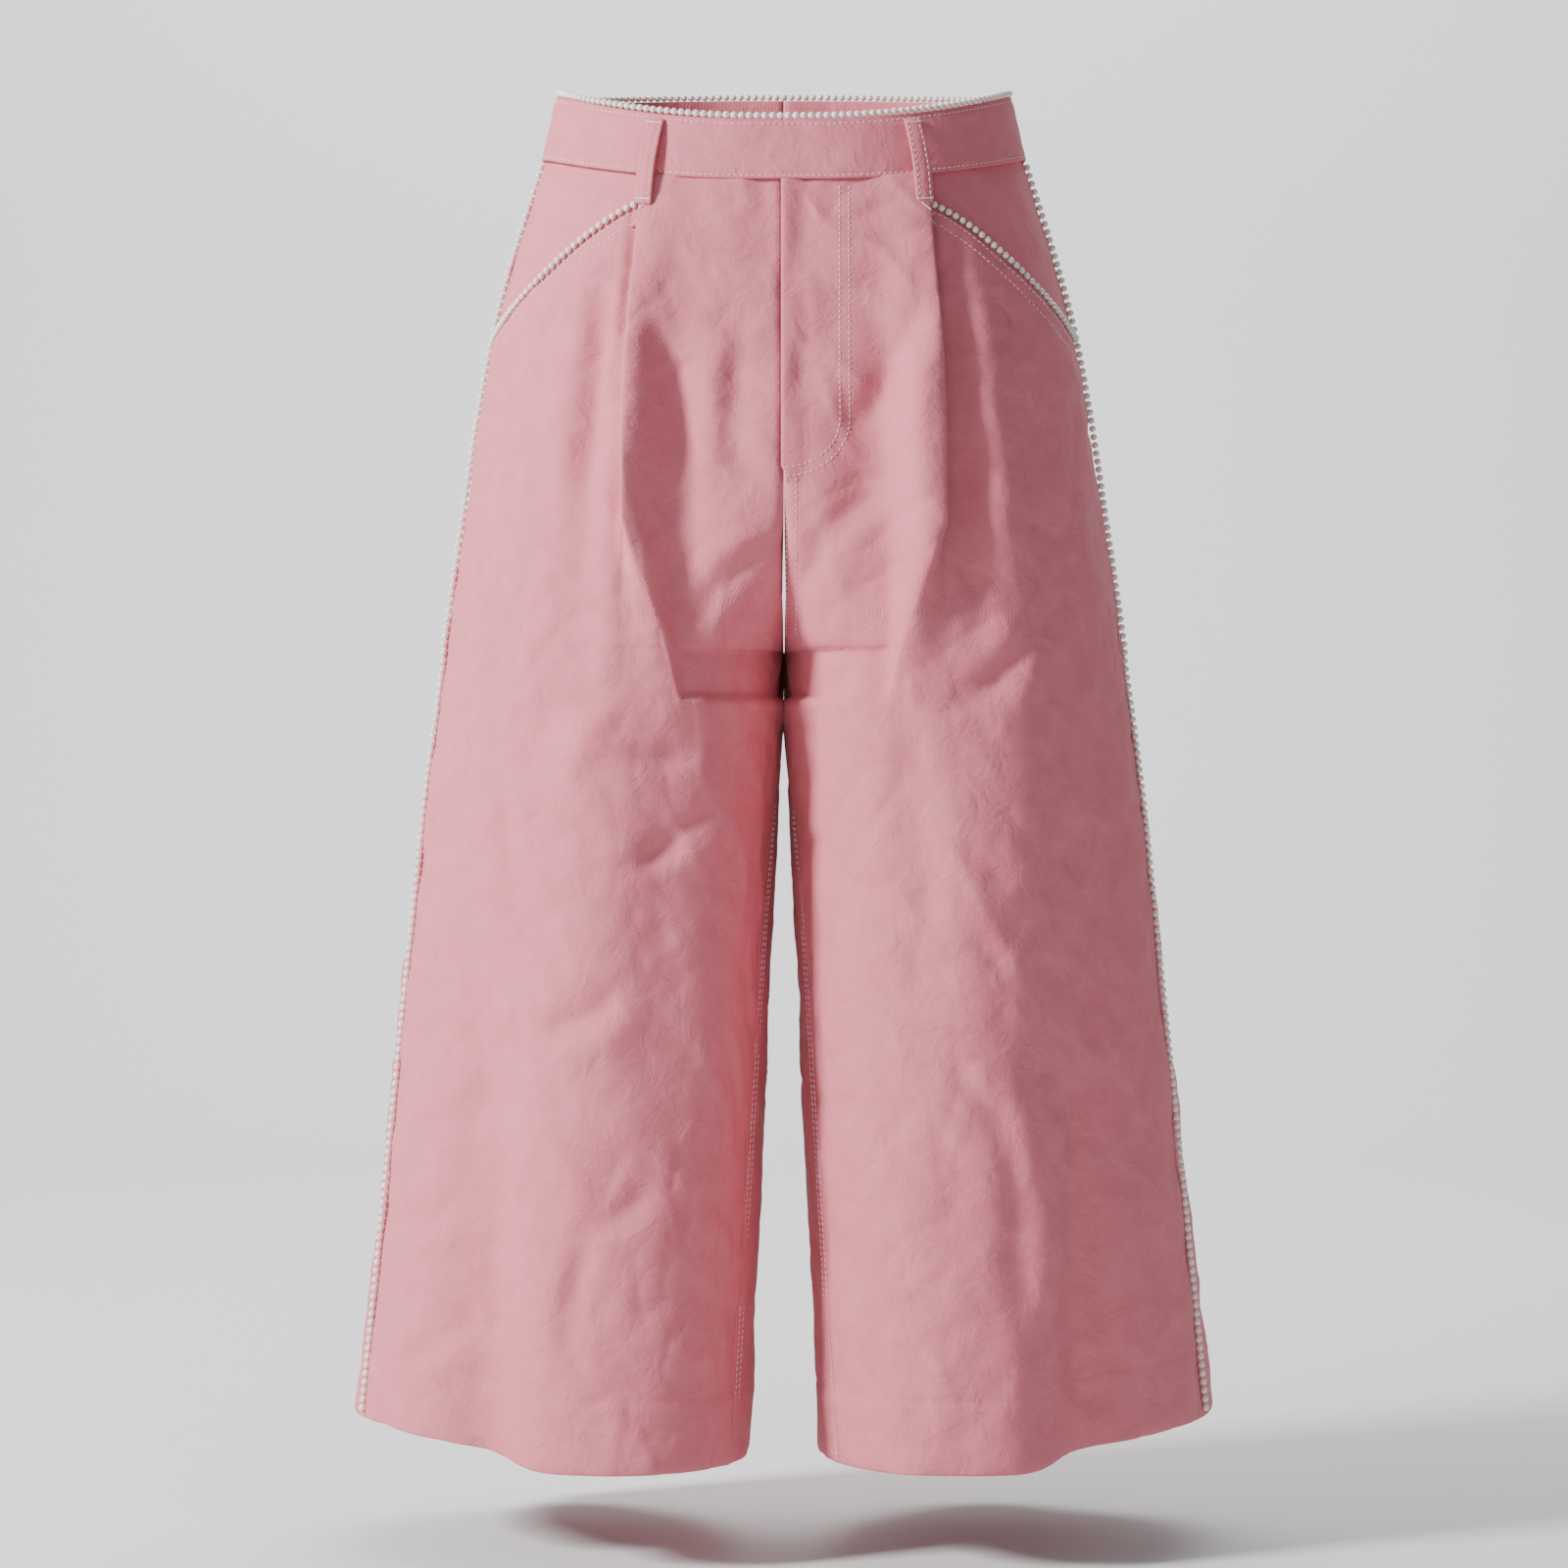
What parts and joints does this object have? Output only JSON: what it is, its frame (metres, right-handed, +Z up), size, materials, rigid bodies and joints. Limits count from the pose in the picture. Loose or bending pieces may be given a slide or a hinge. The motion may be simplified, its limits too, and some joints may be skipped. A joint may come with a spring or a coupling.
{
  "type": "culottes",
  "caption": "Wide pleated cotton culottes, worn and hollow, with belt loops, slanted pockets and pearl trim on waist, side seams and pockets.",
  "frame": {"origin": "centre of the waistband's ring, half way up the band at the sides", "axes": "+Z up, -Y the wearer's front, +X the wearer's left"},
  "size_m": [0.492, 0.2633, 0.7838],
  "materials": {
    "cotton": "matt twill",
    "pearl": "pearly gloss"
  },
  "bodies": {
    "root": {"waistband": "cotton", "front_left": "cotton", "front_right": "cotton", "back_left": "cotton", "back_right": "cotton", "pocket_bearer_left": "cotton", "pocket_bearer_right": "cotton", "belt_loop_front_left": "cotton", "belt_loop_front_right": "cotton", "belt_loop_back_left": "cotton", "belt_loop_back_right": "cotton", "waist_pearls": "pearl", "side_pearls_left": "pearl", "side_pearls_right": "pearl", "pocket_pearls_left": "pearl", "pocket_pearls_right": "pearl"}
  },
  "joints": []
}
